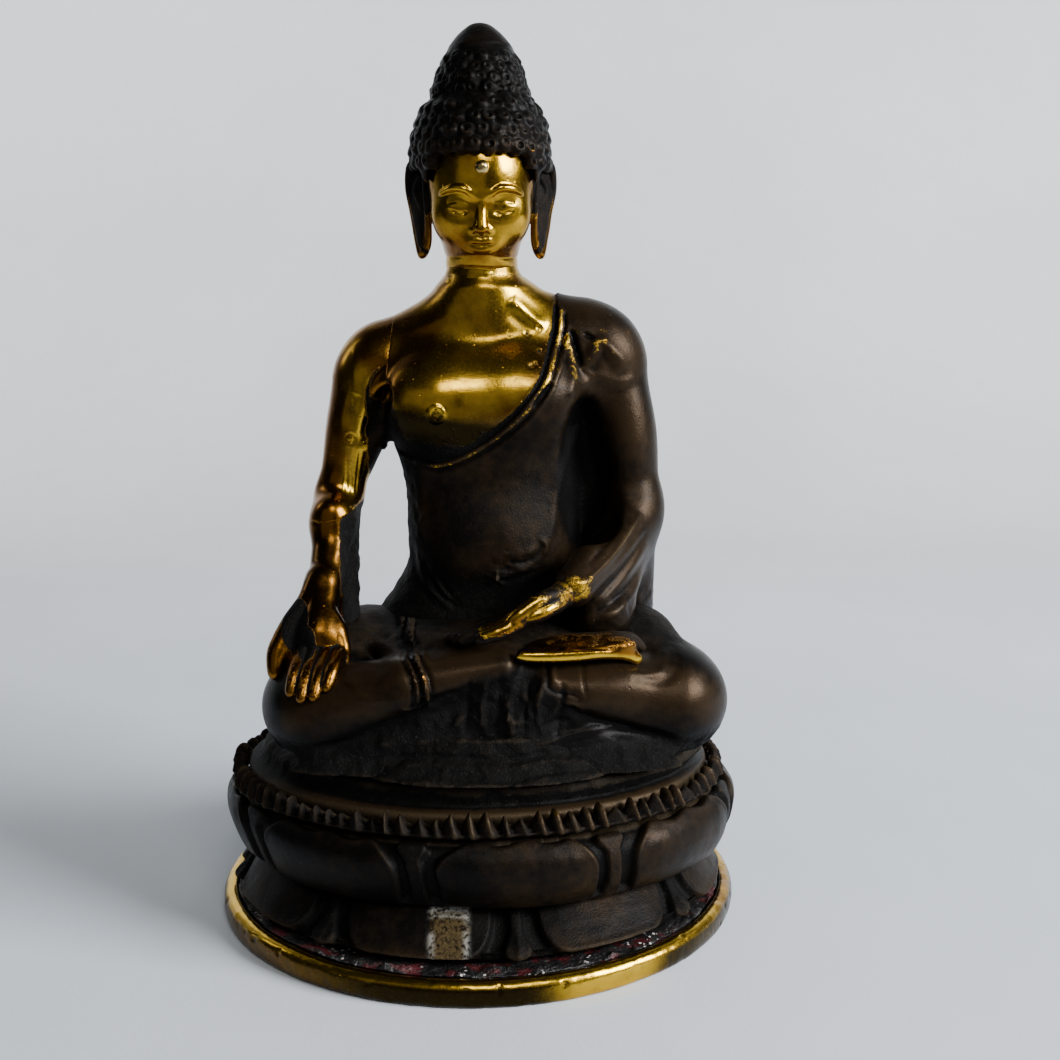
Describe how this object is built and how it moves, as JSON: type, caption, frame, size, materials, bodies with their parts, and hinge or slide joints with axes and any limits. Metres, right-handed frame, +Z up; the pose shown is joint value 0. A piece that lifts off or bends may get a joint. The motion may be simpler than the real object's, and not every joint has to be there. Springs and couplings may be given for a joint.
{
  "type": "buddha statue",
  "caption": "Small cast-brass seated Buddha, right hand reaching down over the knee, on a hollow oval double-lotus pedestal sealed with a round foot ring and base plate.",
  "frame": {"origin": "centre of the foot ring's underside, on the surface the statue stands on", "axes": "+Z up, figure faces -Y, figure's left side towards +X"},
  "size_m": [0.076, 0.076, 0.127],
  "materials": {
    "polished_brass": "worn polish over a brown patina",
    "patinated_brass": "dark brown-black patina, satin",
    "dark_casting": "black patina over rough casting skin",
    "bright_rim": "hand-polished, lightly scratched",
    "copper_sheet": "dull tarnished copper sheet",
    "sealing_wax": "hard dark red wax, dusty",
    "pin_brass": "plain drawn rod",
    "wood": "bare juniper",
    "paper": "rolled handmade paper, saffron tinted",
    "thread": "wound cotton thread"
  },
  "bodies": {
    "root": {"foot_ring": "bright_rim", "bottom_plate": "copper_sheet", "plate_wax": "sealing_wax", "groove_wax": "sealing_wax", "lotus_lower": "patinated_brass", "lotus_upper": "patinated_brass", "stamen_ring": "patinated_brass", "seat_slab": "dark_casting", "tang_pins": "pin_brass", "robe_fan": "dark_casting", "legs": "patinated_brass", "right_foot": "polished_brass", "torso": "patinated_brass", "right_upper_arm": "polished_brass", "right_forearm": "polished_brass", "left_hand": "polished_brass", "head": "polished_brass", "urna_stud": "polished_brass", "hair_cap": "dark_casting", "ushnisha": "dark_casting", "neck_dowel": "pin_brass", "arm_dowels": "pin_brass", "life_stick": "wood", "mantra_rolls": "paper", "roll_ties": "thread"}
  },
  "joints": []
}
